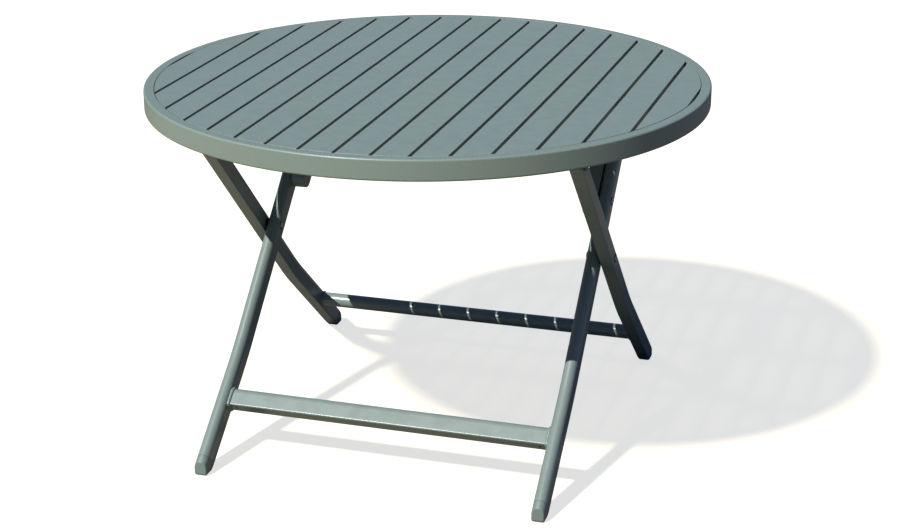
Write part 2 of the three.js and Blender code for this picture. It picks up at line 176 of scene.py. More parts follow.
BEAD_RADIUS = 2.5 * MM
FRONT_BEAD_RADIUS = 3.6 * MM
TACK_RADIUS = 1.7 * MM
TACK_LENGTH = 14 * MM
TACK_STEPS = 24
TACK_OFFSET = 0.3 * MM
TACK_LIFT = 0.1 * MM
RIM_TACK_GAP = 0.2 * MM
RIM_TACK_START = 2 * MM
RIM_TACK_SHORTER = 5 * MM
BEAD_STEPS = 10
BEAD_END = 0.25  # of the bead's full size, before the root
WELD_INSET = 0.4 * MM
RIPPLE_PITCH = 2.2 * MM
RIPPLE_DEPTH = 0.11
POINTS_PER_RIPPLE = 5


# ---------- materials ----------
DRIFT_SCALE = 5.0
SMUDGE_SCALE = 38.0
SCRATCH_SCALE = 26.0
SCRATCH_STRETCH = (14, 0.5, 14)
FLECK_SHARE = 0.3  # of the grain's own scale
# how much lighter the painted edge highlight makes the colour
EDGE_LIGHTER = 1.45
SCRATCH_LIGHTER = 1.25
ROUGH_SPREAD = 0.05
COAT_ROUGHNESS = 0.2


class Nodes:
    """A material's node tree, with short calls for the nodes used here."""

    def __init__(self, name):
        self.material = bpy.data.materials.new(name)
        self.material.use_nodes = True
        self.tree = self.material.node_tree
        self.shader = self.tree.nodes["Principled BSDF"]
        self.place = self.tree.nodes.new("ShaderNodeTexCoord").outputs["Object"]

    def link(self, source, target):
        self.tree.links.new(source, target)

    def noise(self, scale, detail=2.0, stretch=(1, 1, 1)):
        mapping = self.tree.nodes.new("ShaderNodeMapping")
        mapping.inputs["Scale"].default_value = stretch
        self.link(self.place, mapping.inputs["Vector"])
        node = self.tree.nodes.new("ShaderNodeTexNoise")
        node.inputs["Scale"].default_value = scale
        node.inputs["Detail"].default_value = detail
        self.link(mapping.outputs["Vector"], node.inputs["Vector"])
        return node.outputs["Fac"]

    def spread(self, source, from_low, from_high, to_low, to_high):
        """A value carried from one range to another."""
        node = self.tree.nodes.new("ShaderNodeMapRange")
        limits = {"From Min": from_low, "From Max": from_high, "To Min": to_low, "To Max": to_high}
        for socket, value in limits.items():
            node.inputs[socket].default_value = value
        self.link(source, node.inputs["Value"])
        return node.outputs["Result"]

    def maths(self, operation, first, second):
        node = self.tree.nodes.new("ShaderNodeMath")
        node.operation = operation
        for socket, value in zip(node.inputs, (first, second)):
            if isinstance(value, (int, float)):
                socket.default_value = value
            else:
                self.link(value, socket)
        return node.outputs["Value"]

    def mix(self, share, first, second):
        node = self.tree.nodes.new("ShaderNodeMix")
        node.data_type = "RGBA"
        self.link(share, node.inputs[0])
        for socket, value in ((node.inputs[6], first), (node.inputs[7], second)):
            if isinstance(value, tuple):
                socket.default_value = (*value, 1)
            else:
                self.link(value, socket)
        return node.outputs[2]

    def bump(self, layers):
        """Layers of (height, distance), the coarsest first."""
        normal = None
        for height, distance in layers:
            node = self.tree.nodes.new("ShaderNodeBump")
            node.inputs["Strength"].default_value = 1
            node.inputs["Distance"].default_value = distance
            self.link(height, node.inputs["Height"])
            if normal is not None:
                self.link(normal, node.inputs["Normal"])
            normal = node.outputs["Normal"]
        self.link(normal, self.shader.inputs["Normal"])


def scaled(color, factor):
    return tuple(channel * factor for channel in color)


def finish_material(name, color, rough, grain, grain_height, tone=0.05, edge_highlight=0.35, metallic=0.0, coat=0.0):
    """A colour that drifts and speckles, lighter at edges as a painted highlight, with grain in bump and
    roughness.
    """
    nodes = Nodes(name)
    shader = nodes.shader.inputs
    drift = nodes.noise(DRIFT_SCALE, 4.0)
    smudge = nodes.noise(SMUDGE_SCALE, 5.0)
    speckle = nodes.noise(grain, 3.0)
    fleck = nodes.noise(grain * FLECK_SHARE, 2.0)
    scratch_noise = nodes.noise(SCRATCH_SCALE, 1.5, SCRATCH_STRETCH)
    scratch = nodes.spread(scratch_noise, 0.70, 0.74, 0, 0.35)
    pointiness = nodes.tree.nodes.new("ShaderNodeNewGeometry").outputs["Pointiness"]
    # painted highlight: edges found by pointiness are lightened, patchily by the smudge noise
    edge = nodes.maths("MULTIPLY", nodes.spread(pointiness, 0.52, 0.62, 0, edge_highlight),
                       nodes.spread(smudge, 0.4, 0.6, 0.3, 1))

    base = nodes.mix(nodes.spread(drift, 0.3, 0.7, 0, 1), scaled(color, 1 - tone), scaled(color, 1 + tone))
    base = nodes.mix(nodes.spread(speckle, 0.35, 0.65, 0, 0.5), base, scaled(color, 1 + 2.2 * tone))
    base = nodes.mix(nodes.spread(fleck, 0.35, 0.65, 0, 0.6), base, scaled(color, 1 + 2.5 * tone))
    base = nodes.mix(nodes.spread(smudge, 0.55, 0.75, 0, 0.3), base, scaled(color, 1 - 1.2 * tone))
    base = nodes.mix(edge, base, scaled(color, EDGE_LIGHTER))
    base = nodes.mix(scratch, base, scaled(color, SCRATCH_LIGHTER))
    nodes.link(base, shader["Base Color"])

    grain_rough = nodes.spread(speckle, 0.3, 0.7, rough - ROUGH_SPREAD, rough + ROUGH_SPREAD)
    smudged_rough = nodes.maths("ADD", grain_rough, nodes.spread(smudge, 0.3, 0.7, -0.03, 0.04))
    scratched_rough = nodes.maths("ADD", smudged_rough, nodes.maths("MULTIPLY", scratch, 0.15))
    nodes.link(scratched_rough, shader["Roughness"])
    shader["Metallic"].default_value = metallic
    shader["Coat Weight"].default_value = coat
    shader["Coat Roughness"].default_value = COAT_ROUGHNESS
    nodes.bump([(fleck, grain_height * 0.7), (speckle, grain_height * 0.6), (scratch, -grain_height)])
    return nodes.material


MATERIALS = {
    "top_paint": finish_material("grey_green_paint_top", (0.200, 0.246, 0.205), rough=0.40, grain=1100,
                                 grain_height=0.05 * MM, tone=0.03, coat=0.05),
    "leg_paint": finish_material("grey_green_paint_legs", (0.194, 0.236, 0.214), rough=0.34, grain=1000,
                                 grain_height=0.045 * MM, tone=0.03, coat=0.2),
    "foot_plastic": finish_material("grey_plastic", (0.170, 0.212, 0.192), rough=0.5, grain=1600,
                                    grain_height=0.06 * MM, edge_highlight=0.2),
    "bolt_steel": finish_material("zinc_steel", (0.50, 0.52, 0.51), rough=0.34, grain=1400,
                                  grain_height=0.02 * MM, tone=0.12, edge_highlight=0.2, metallic=1.0),
    "bracket_steel": finish_material("dark_bracket_paint", (0.055, 0.064, 0.063), rough=0.42, grain=900,
                                     grain_height=0.05 * MM, tone=0.1),
    "black_nylon": finish_material("black_nylon", (0.022, 0.023, 0.023), rough=0.55, grain=1500,
                                   grain_height=0.05 * MM, tone=0.12, edge_highlight=0.15),
}


# ---------- mesh helpers ----------
def linked_object(name, shape):
    """The bmesh shape as an object of the scene."""
    mesh = bpy.data.meshes.new(name)
    shape.to_mesh(mesh)
    shape.free()
    made = bpy.data.objects.new(name, mesh)
    bpy.context.scene.collection.objects.link(made)
    return made


def new_object(name, verts, faces):
    mesh = bpy.data.meshes.new(f"{name}_plain")
    mesh.from_pydata([tuple(v) for v in verts], [], faces)
    shape = bmesh.new()
    shape.from_mesh(mesh)
    bpy.data.meshes.remove(mesh)
    bmesh.ops.recalc_face_normals(shape, faces=shape.faces)
    return linked_object(name, shape)


def skin(rings, closed=False):
    """Quads between rings of equal length; the two end rings are capped unless the path is closed."""
    count = len(rings[0])
    verts = [vert for ring in rings for vert in ring]
    faces = []
    steps = len(rings) if closed else len(rings) - 1
    for i in range(steps):
        near = i * count
        far = (i + 1) % len(rings) * count
        for j in range(count):
            k = (j + 1) % count
            faces.append((near + j, near + k, far + k, far + j))
    if not closed:
        last = (len(rings) - 1) * count
        faces.append(tuple(range(count)))
        faces.append(tuple(range(last, last + count)))
    return verts, faces


def joined(parts):
    """Several (verts, faces) as one."""
    verts, faces = [], []
    for part_verts, part_faces in parts:
        start = len(verts)
        verts.extend(part_verts)
        faces.extend(tuple(start + i for i in face) for face in part_faces)
    return verts, faces


def rounded(corners, radii, steps=6):
    """An outline in two dimensions with its corners rounded."""
    outline = []
    for i, corner in enumerate(corners):
        here = Vector(corner)
        back = (Vector(corners[i - 1]) - here).normalized()
        on = (Vector(corners[(i + 1) % len(corners)]) - here).normalized()
        radius = radii[i] if isinstance(radii, (list, tuple)) else radii
        half = back.angle(on) / 2
        if radius == 0 or half > math.pi / 2 - 0.01:
            outline.append(here)
            continue
        centre = here + (back + on).normalized() * (radius / math.sin(half))
        start = here + back * (radius / math.tan(half)) - centre
        end = here + on * (radius / math.tan(half)) - centre
        turn = start.angle_signed(end)
        for step in range(steps + 1):
            outline.append(centre + Matrix.Rotation(-turn * step / steps, 2) @ start)
    return outline


def prism_x(outline, x0, x1, at=(0, 0)):
    """An outline in Y and Z, drawn out from one x to another."""
    rings = [[Vector((x, at[0] + y, at[1] + z)) for y, z in outline] for x in (x0, x1)]
    return skin(rings)


def circle_angles(steps):
    return [2 * math.pi * i / steps for i in range(steps)]


def disc(radius, steps=TURN_STEPS):
    return [Vector((radius * math.cos(a), radius * math.sin(a))) for a in circle_angles(steps)]


def applied(made):
    """Applies the object's modifiers to its mesh."""
    graph = bpy.context.evaluated_depsgraph_get()
    mesh = bpy.data.meshes.new_from_object(made.evaluated_get(graph))
    made.modifiers.clear()
    made.data = mesh
    return made


def carved(made, tools, operation="DIFFERENCE"):
    """Cuts the object with closed shapes, each given as (verts, faces)."""
    for verts, faces in tools:
        tool = new_object("tool", verts, faces)
        modifier = made.modifiers.new("cut", "BOOLEAN")
        modifier.operation = operation
        modifier.solver = "EXACT"
        modifier.object = tool
        applied(made)
        bpy.data.objects.remove(tool)
    return made


def soft_edges(made, width):
    modifier = made.modifiers.new("edges", "BEVEL")
    modifier.width = width
    modifier.segments = 2
    modifier.limit_method = "ANGLE"
    modifier.angle_limit = math.radians(50)
    modifier.use_clamp_overlap = True
    return applied(made)


def finish(made, node, sharp=38, replaced=True, slot=None):
    """Shades a piece, gives it its node's body, slot and material, and lets it stand for the node."""
    made.data.materials.clear()
    made.data.materials.append(MATERIALS[slot or SLOT_OF[node]])
    made.data.polygons.foreach_set("use_smooth", [True] * len(made.data.polygons))
    made.data.set_sharp_from_angle(angle=math.radians(sharp))
    weighted = made.modifiers.new("shading", "WEIGHTED_NORMAL")
    weighted.keep_sharp = True
    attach(made, BODY_OF[node])
    if replaced:
        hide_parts(node)
    return made


def piece(node, shape, **options):
    return finish(new_object(f"{node}_made", *shape), node, **options)


def hexagon(flats):
    """The radius of a hexagon of that apothem, by angle."""
    return lambda angle: flats / math.cos((angle + math.pi / 6) % (math.pi / 3) - math.pi / 6)


def turned(profile, at, closed=False):
    """Rings along X round the point at: (x, radius), or (x, radius by angle)."""
    rings = []
    for x, radius in profile:
        reaches = [(a, radius(a) if callable(radius) else radius) for a in circle_angles(TURN_STEPS)]
        rings.append([Vector((x, at.y + reach * math.cos(a), at.z + reach * math.sin(a)))
                      for a, reach in reaches])
    return skin(rings, closed=closed)


def bead(points, radius, normal, closed=True):
    """A rippled weld bead along points, on the surface that the normal stands on, thinner at open ends."""
    normal = Vector(normal)
    rings = []
    length = 0.0
    total = sum((points[i] - points[i - 1]).length for i in range(1, len(points)))
    for i, point in enumerate(points):
        last = points[i - 1] if closed or i else point
        after = points[(i + 1) % len(points)] if closed or i + 1 < len(points) else point
        along = (after - last).normalized()
        across = along.cross(normal).normalized()
        ripple = 1 + RIPPLE_DEPTH * (abs(math.sin(math.pi * length / RIPPLE_PITCH)) - 0.5)
        taper = 1.0 if closed else max(BEAD_END, math.sin(math.pi * length / max(total, 1e-9))) ** 0.5
        reach = radius * ripple * taper
        rings.append([point + (across * math.cos(a) + normal * math.sin(a)) * reach
                      for a in circle_angles(BEAD_STEPS)])
        length += (after - point).length
    return skin(rings, closed=closed)


def resampled(outline, spacing):
    """Evenly spaced points round a closed outline."""
    points = [Vector(p) for p in outline]
    lengths = [(points[(i + 1) % len(points)] - points[i]).length for i in range(len(points))]
    total = sum(lengths)
    count = max(12, round(total / spacing))
    result = []
    i, passed = 0, 0.0
    for step in range(count):
        target = total * step / count
        while passed + lengths[i] < target:
            passed += lengths[i]
            i += 1
        share = (target - passed) / max(lengths[i], 1e-12)
        result.append(points[i].lerp(points[(i + 1) % len(points)], share))
    return result


# ---------- top ----------
rim_low, rim_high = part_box("rim")
TOP_RADIUS = rim_high.x
RIM_INNER = TOP_RADIUS - RIM_WIDTH
FIELD_RADIUS = RIM_INNER - SLAT_END_GAP


def make_rim():
    low, high = rim_low.z, rim_high.z
    corners = [(RIM_INNER, low), (TOP_RADIUS, low), (TOP_RADIUS, high), (RIM_INNER, high)]
    section = rounded(corners, [RIM_INNER_CORNER, RIM_CORNER, RIM_CORNER, RIM_INNER_CORNER])
    rings = [[Vector((r * math.cos(a), r * math.sin(a), z)) for r, z in section]
             for a in circle_angles(RIM_SEGMENTS)]
    rim = new_object("rim_made", *skin(rings, closed=True))
    drains = []
    for i in range(DRAIN_COUNT):
        angle = (i + 0.5) * 2 * math.pi / DRAIN_COUNT
        centre = Vector((math.cos(angle), math.sin(angle))) * (TOP_RADIUS - RIM_WIDTH / 2)
        hole = [centre + point for point in disc(DRAIN_RADIUS, SMALL_HOLE_STEPS)]
        rings = [[Vector((*point, z)) for point in hole] for z in (low - MM, low + DRAIN_DEPTH)]
        drains.append(skin(rings))
    finish(carved(rim, drains), "rim")


def samples(half, corner, low, high, steps=(), lip=None):
    """(across, low, high) over a bar's width, with rounded upper corners and, without a lip, lower ones."""
    arcs = [half - corner * (1 - math.cos(math.pi / 2 * i / CORNER_STEPS)) for i in range(CORNER_STEPS)]
    flats = [half - corner - i * SAMPLE_STEP for i in range(int((half - corner) / SAMPLE_STEP) + 1)]
    places = sorted({*arcs, *flats, *steps, 0.0})
    result = []
    for across in [-p for p in reversed(places)] + places[1:]:
        inward = max(0.0, abs(across) - (half - corner))
        drop = corner - math.sqrt(max(0.0, corner ** 2 - inward ** 2))
        under = low + drop if lip is None else (lip if abs(across) > SLAT_BODY_WIDTH / 2 else low)
        result.append((across, under, high - drop))
    return result


def bar_in_circle(profile, at, along):
    """A bar whose ends follow the circle inside the rim. at is its middle line; along is 'x' or 'y'."""
    rings = []
    for across, low, high in profile:
        offset = (at.x if along == "y" else at.y) + across
        reach = math.sqrt(FIELD_RADIUS ** 2 - offset ** 2)
        edge = min(BAR_END_EDGE, (high - low) / 2)
        ends = [(reach - edge, low), (reach, low + edge), (reach, high - edge), (reach - edge, high)]
        loop = ends + [(-x, z) for x, z in reversed(ends)]
        if along == "y":
            rings.append([Vector((offset, x, at.z + z)) for x, z in loop])
        else:
            rings.append([Vector((x, offset, at.z + z)) for x, z in loop])
    return skin(rings)


def make_slats():
    for i in range(1, SLAT_COUNT + 1):
        node = f"slat_{i:02d}"
        low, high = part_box(node)
        half_height = (high.z - low.z) / 2
        body = SLAT_BODY_WIDTH / 2
        profile = samples((high.x - low.x) / 2, SLAT_EDGE, -half_height, half_height,
                          (body, body + SLAT_LIP_STEP), half_height - SLAT_LIP)
        piece(node, bar_in_circle(profile, (low + high) / 2, "y"))


def make_battens():
    for place in ("front", "middle", "back"):
        node = f"batten_{place}"
        low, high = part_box(node)
        half_height = (high.z - low.z) / 2
        profile = samples((high.y - low.y) / 2, BATTEN_CORNER, -half_height, half_height)
        piece(node, bar_in_circle(profile, (low + high) / 2, "x"))
        make_tacks(node, low, high)


def make_tacks(node, low, high):
    """Short welds where each slat crosses the batten, on both sides of it, and at its ends on the rim."""
    shares = [i / TACK_STEPS for i in range(TACK_STEPS + 1)]
    tacks = []
    for y in (low.y - TACK_OFFSET, high.y + TACK_OFFSET):
        for i in range(1, SLAT_COUNT + 1):
            x = middle(f"slat_{i:02d}").x
            if abs(x) + TACK_LENGTH > math.sqrt(FIELD_RADIUS ** 2 - y ** 2):
                continue
            points = [Vector((x + TACK_LENGTH * (share - 0.5), y, high.z + TACK_LIFT)) for share in shares]
            tacks.append(bead(points, TACK_RADIUS, (0, 0, 1), closed=False))
    for sign in (-1, 1):
        for y in (low.y, high.y):
            x = sign * (math.sqrt(FIELD_RADIUS ** 2 - y ** 2) - RIM_TACK_GAP)
            start, length = low.z + RIM_TACK_START, high.z - low.z - RIM_TACK_SHORTER
            points = [Vector((x, y, start + length * share)) for share in shares]
            tacks.append(bead(points, TACK_RADIUS, (sign, 0, 0), closed=False))
    finish(new_object(f"{node}_welds", *joined(tacks)), node, replaced=False)


# ---------- legs ----------
LEGS = {
    "outer": {"way": 1, "top": HINGE, "foot_lean": math.radians(50), "bend_z": 220 * MM},
    "inner": {"way": -1, "top": CROSSBAR, "foot_lean": math.radians(51.5), "bend_z": 171 * MM},
}
for leg in LEGS.values():
    leg["reach"] = math.hypot(leg["top"].y - PIVOT.y, leg["top"].z - PIVOT.z)
    leg["lean"] = math.acos((leg["top"].z - PIVOT.z) / leg["reach"])


def down(leg, lean):
    return Vector((0, leg["way"] * math.sin(lean), -math.cos(lean)))


def out(leg, lean):
    return Vector((0, leg["way"] * math.cos(lean), math.sin(lean)))


def up_leg(leg, distance, x=0.0):
    return Vector((x, PIVOT.y, PIVOT.z)) - down(leg, leg["lean"]) * distance


def leg_stations(leg):
    """(point, lean) down the centre line: straight, a gentle arc, straight to the ground."""
    turn = leg["foot_lean"] - leg["lean"]
    step = BEND_RADIUS * turn / BEND_STEPS
    to_bend = (PIVOT.z - leg["bend_z"]) / math.cos(leg["lean"]) - step * BEND_STEPS / 2
    stations = [(up_leg(leg, leg["reach"] + LEG_OVERRUN), leg["lean"]), (up_leg(leg, -to_bend), leg["lean"])]
    for i in range(1, BEND_STEPS + 1):
        lean = leg["lean"] + turn * i / BEND_STEPS
        chord_lean = lean - turn / BEND_STEPS / 2
        stations.append((stations[-1][0] + down(leg, chord_lean) * step, lean))
    return stations


def ground_point(leg):
    point, lean = leg_stations(leg)[-1]
    way_down = down(leg, lean)
    return point + way_down * (point.z / -way_down.z)


def d_outline(inset=0.0):
    """The leg's section, flat on one deep side and rounded on the other."""
    w = LEG_WIDTH / 2 - inset
    low = -LEG_DEPTH / 2 + inset
    spring = LEG_DEPTH / 2 - LEG_ROUND_DEPTH
    bulge = LEG_ROUND_DEPTH - inset
    corner = max(LEG_CORNER - inset, LEAST_CORNER)
    arc = [Vector((w * math.cos(a), spring + bulge * math.sin(a)))
           for a in (math.pi * i / LEG_ARC_STEPS for i in range(LEG_ARC_STEPS + 1))]
    left = [Vector((-w + corner * (1 - math.cos(a)), low + corner * (1 - math.sin(a))))
            for a in (math.pi / 2 * i / CORNER_STEPS for i in range(CORNER_STEPS + 1))]
    right = [Vector((-point.x, point.y)) for point in reversed(left)]
    return arc + left + right


def leg_ring(leg, x, point, lean, inset=0.0):
    side = out(leg, lean)
    return [Vector((x + u, point.y + side.y * v, point.z + side.z * v)) for u, v in d_outline(inset)]


def drill(at, x, reach=LEG_WIDTH):
    return prism_x(disc(HOLE_RADIUS), x - reach, x + reach, (at.y, at.z))


def make_leg(name, leg, side, holes):
    node = f"{name}_leg_{side}"
    x = middle(node).x
    stations = leg_stations(leg)
    seam = ground_point(leg) - down(leg, leg["foot_lean"]) * FOOT_LENGTH
    first = stations[0][0] + down(leg, leg["lean"]) * SEAM_EDGE
    last = seam - down(leg, leg["foot_lean"]) * SEAM_EDGE
    rings = [leg_ring(leg, x, *stations[0], inset=SEAM_EDGE), leg_ring(leg, x, first, leg["lean"])]
    rings += [leg_ring(leg, x, point, lean) for point, lean in stations[1:]]
    rings += [leg_ring(leg, x, last, leg["foot_lean"]), leg_ring(leg, x, seam, leg["foot_lean"], SEAM_EDGE)]
    tube = new_object(f"{node}_made", *skin(rings))
    finish(carved(tube, [drill(at, x) for at in holes]), node)


def make_cap(name, leg, side):
    node = f"{name}_cap_{side}"
    x = middle(node).x
    start = leg["reach"] + LEG_OVERRUN + TOUCH_GAP
    levels = ((0, SEAM_EDGE), (SEAM_EDGE, 0), (CAP_THICKNESS - CAP_EDGE, 0),
              (CAP_THICKNESS - CAP_EDGE / 3, CAP_EDGE / 3), (CAP_THICKNESS, CAP_EDGE))
    rings = [leg_ring(leg, x, up_leg(leg, start + level), leg["lean"], inset) for level, inset in levels]
    piece(node, skin(rings))


def ball(radius, rows=6, columns=14):
    """Points spread over a sphere."""
    points = [Vector((0, 0, radius)), Vector((0, 0, -radius))]
    for i in range(1, rows):
        polar = math.pi * i / rows
        across, tall = math.sin(polar), math.cos(polar)
        for turn in circle_angles(columns):
            points.append(Vector((across * math.cos(turn), across * math.sin(turn), tall)) * radius)
    return points


def make_foot(name, leg, side):
    """The leg's section, cut by the ground and an upright bevel, with every lower edge rounded."""
    node = f"{name}_foot_{side}"
    x = middle(node).x
    lean = leg["foot_lean"]
    way_down = down(leg, lean)
    side_out = out(leg, lean)
    ground = ground_point(leg)
    seam = ground - way_down * (FOOT_LENGTH - TOUCH_GAP)
    crown = ground + side_out * (LEG_DEPTH / 2)
    bevel_y = crown.y + way_down.y * (crown.z - FOOT_BEVEL) / -way_down.z
    outline = d_outline(FOOT_ROUND)
    wide = LEG_WIDTH / 2 - FOOT_ROUND
    deep = LEG_DEPTH - LEG_ROUND_DEPTH - FOOT_ROUND
    for i in range(1, FOOT_STEPS):
        v = -LEG_DEPTH / 2 + FOOT_ROUND + deep * i / FOOT_STEPS
        outline += [Vector((-wide, v)), Vector((wide, v))]
    points = []
    for u, v in outline:
        start = seam + side_out * v
        to_ground = (start.z - FOOT_ROUND) / -way_down.z
        to_bevel = (leg["way"] * (bevel_y - start.y) - FOOT_ROUND) / abs(way_down.y)
        centre = start + way_down * min(to_ground, to_bevel) + Vector((x + u, 0, 0))
        points += [centre + point for point in ball(FOOT_ROUND)]
    for inset, level in ((SEAM_EDGE, 0.0), (0.0, SEAM_EDGE)):
        points += leg_ring(leg, x, seam + way_down * level, lean, inset)
    shape = bmesh.new()
    for point in points:
        shape.verts.new(point)
    hull = bmesh.ops.convex_hull(shape, input=shape.verts)
    spare = hull["geom_interior"] + hull["geom_unused"]
    buried = {part for part in spare if isinstance(part, bmesh.types.BMVert)}
    bmesh.ops.delete(shape, geom=list(buried), context="VERTS")
    bmesh.ops.dissolve_limit(shape, angle_limit=FLAT_ENOUGH, verts=shape.verts, edges=shape.edges)
    finish(linked_object(f"{node}_made", shape), node)


# ---------- rails ----------
def make_weld_ring(node, name, outline, x, sign, at, radius=BEAD_RADIUS):
    spaced = resampled(outline, RIPPLE_PITCH / POINTS_PER_RIPPLE)
    points = [Vector((x, at[0] + y, at[1] + z)) for y, z in spaced]
    weld = new_object(name, *bead(points, radius, (-sign, 0, 0)))
    finish(weld, node, replaced=False)


def make_rails():
    lean = LEGS["inner"]["foot_lean"]
    turn = Matrix.Rotation(-lean, 2)
    low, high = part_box("front_rail")
    outline = [turn @ point for point in d_outline()]
    lopsided = [(min(axis) + max(axis)) / 2 for axis in zip(*outline)]
    at = ((low.y + high.y) / 2 - lopsided[0], (low.z + high.z) / 2 - lopsided[1])
    rail = new_object("front_rail_made", *prism_x(outline, low.x, high.x, at))
    below = turn @ Vector((0, -1))
    vents = []
    for sign in (-1, 1):
        x = sign * (high.x - VENT_INSET)
        rings = []
        for depth in (LEG_DEPTH / 2 + MM, LEG_DEPTH / 2 - VENT_DEPTH):
            centre = Vector((at[0], at[1])) + below * depth
            across = turn @ Vector((1, 0))
            hole = disc(VENT_RADIUS, SMALL_HOLE_STEPS)
            rings.append([Vector((x + u, *(centre + across * v))) for u, v in hole])
        vents.append(skin(rings))
    finish(carved(rail, vents), "front_rail")
    for side, sign in SIDES:
        weld_x = sign * (high.x - WELD_INSET)
        make_weld_ring("front_rail", f"front_rail_weld_{side}", outline, weld_x, sign, at, FRONT_BEAD_RADIUS)
    for node in ("back_rail", "crossbar"):
        low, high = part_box(node)
        at = ((low.y + high.y) / 2, (low.z + high.z) / 2)
        circle = disc((high.z - low.z) / 2, ROUND_STEPS)
        piece(node, prism_x(circle, low.x, high.x, at))
        for side, sign in SIDES:
            make_weld_ring(node, f"{node}_weld_{side}", circle, sign * (high.x - WELD_INSET), sign, at)


# ---------- fasteners ----------
def bolt_shape(at, sign, head_end, head_start, tip):
    """A low button head with a hex socket and a plain shaft; x distances are for the +X side."""
    tall = head_end - head_start
    dome = [(head_start + tall * (DOME_FOOT + (1 - DOME_FOOT) * math.sin(a)),
             HEAD_RADIUS * (DOME_CROWN + (1 - DOME_CROWN) * math.cos(a)))
            for a in (math.pi / 2 * i / DOME_STEPS for i in range(DOME_STEPS + 1))]
    depth = min(SOCKET_DEPTH, tall * SOCKET_SHARE)
    socket = hexagon(SOCKET_RADIUS)
    profile = [
        (tip, BOLT_RADIUS - BOLT_TIP_EDGE), (tip + BOLT_TIP_EDGE, BOLT_RADIUS), (head_start, BOLT_RADIUS),
        (head_start, HEAD_RADIUS - HEAD_EDGE), (head_start + HEAD_EDGE, HEAD_RADIUS), *dome,
        (head_end, SOCKET_RADIUS * 1.25), (head_end - SOCKET_LEAD, socket), (head_end - depth, socket),
        (head_end - depth - SOCKET_CONE, SOCKET_TIP),
    ]
    return turned([(sign * x, radius) for x, radius in profile], at)


def bolt_ends(node):
    low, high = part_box(node)
    return min(abs(low.x), abs(high.x)), max(abs(low.x), abs(high.x))


def make_bolt(node, at, sign, head_height):
    tip, head_end = bolt_ends(node)
    piece(node, bolt_shape(at, sign, head_end, head_end - head_height, tip), sharp=FASTENER_SHARP)


def make_nut(node, at, sign):
    """A low round sleeve, rounded where it shows."""
    near, far = bolt_ends(node)
    edge = NUT_EDGE
    profile = [(near, HOLE_RADIUS), (near, NUT_RADIUS - 2 * edge), (near + edge / 4, NUT_RADIUS - edge),
               (near + edge, NUT_RADIUS - edge / 6), (near + 1.5 * edge, NUT_RADIUS), (far, NUT_RADIUS),
               (far, HOLE_RADIUS)]
    piece(node, turned([(sign * x, radius) for x, radius in profile], at, closed=True), sharp=FASTENER_SHARP)


def make_ring(name, node, at, face, facing):
    """A thin black ring round a bolt head, lying on the leg's flat side: a black washer that also paints the
    shade of the recess round the head.
    """
    edge = RING_HEIGHT / 3
    profile = [(RING_LIFT, RING_INNER), (RING_HEIGHT, RING_INNER), (RING_HEIGHT, RING_OUTER - edge),
               (RING_HEIGHT - edge / 3, RING_OUTER - edge / 3), (RING_HEIGHT - edge, RING_OUTER),
               (RING_LIFT, RING_OUTER)]
    shape = turned([(face + facing * x, radius) for x, radius in profile], at, closed=True)
    finish(new_object(name, *shape), node, sharp=FASTENER_SHARP, replaced=False, slot="black_nylon")


def make_spacer(node, at, sign):
    near, far = bolt_ends(node)
    radius, edge = SPACER_RADIUS, SPACER_EDGE
    profile = [(near, HOLE_RADIUS), (near, radius - edge), (near + edge / 3, radius - edge / 3),
               (near + edge, radius), (far - edge, radius), (far - edge / 3, radius - edge / 3),
               (far, radius - edge), (far, HOLE_RADIUS)]
    piece(node, turned([(sign * x, radius) for x, radius in profile], at, closed=True), sharp=FASTENER_SHARP)


# ---------- arms ----------
def stadium(low, high, radius):
    """An outline in Y and Z with half-round ends at two points."""
    along = math.atan2(high.z - low.z, high.y - low.y)
    outline = []
    for centre, start in ((low, along + math.pi / 2), (high, along - math.pi / 2)):
        for i in range(ARM_END_STEPS + 1):
            angle = start + math.pi * i / ARM_END_STEPS
            outline.append((centre.y + radius * math.cos(angle), centre.z + radius * math.sin(angle)))
    return outline


def make_arm(side, sign, bolts):
    node = f"arm_{side}"
    low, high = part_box(node)
    near, far = bolt_ends(node)
    inner = LEGS["inner"]
    start = up_leg(inner, (low.z + ARM_RADIUS - PIVOT.z) / math.cos(inner["lean"]))
    levels = [(near + ARM_ROUND * (1 - math.cos(a)), ARM_ROUND * (1 - math.sin(a)))
              for a in (math.pi / 2 * i / CORNER_STEPS for i in range(CORNER_STEPS + 1))]
    levels += [(far - SEAM_EDGE, 0), (far, SEAM_EDGE)]
    rings = [[Vector((sign * x, y, z)) for y, z in stadium(start, CROSSBAR, ARM_RADIUS - inset)]
             for x, inset in levels]
    arm = new_object(f"{node}_made", *skin(rings))
    tip = bolt_ends(f"arm_bolt_low_{side}")[0] - MM
    ends = sorted((sign * tip, sign * (far + MM)))
    holes = [prism_x(disc(HOLE_RADIUS), *ends, (at.y, at.z)) for at in bolts]
    finish(carved(arm, holes), node)


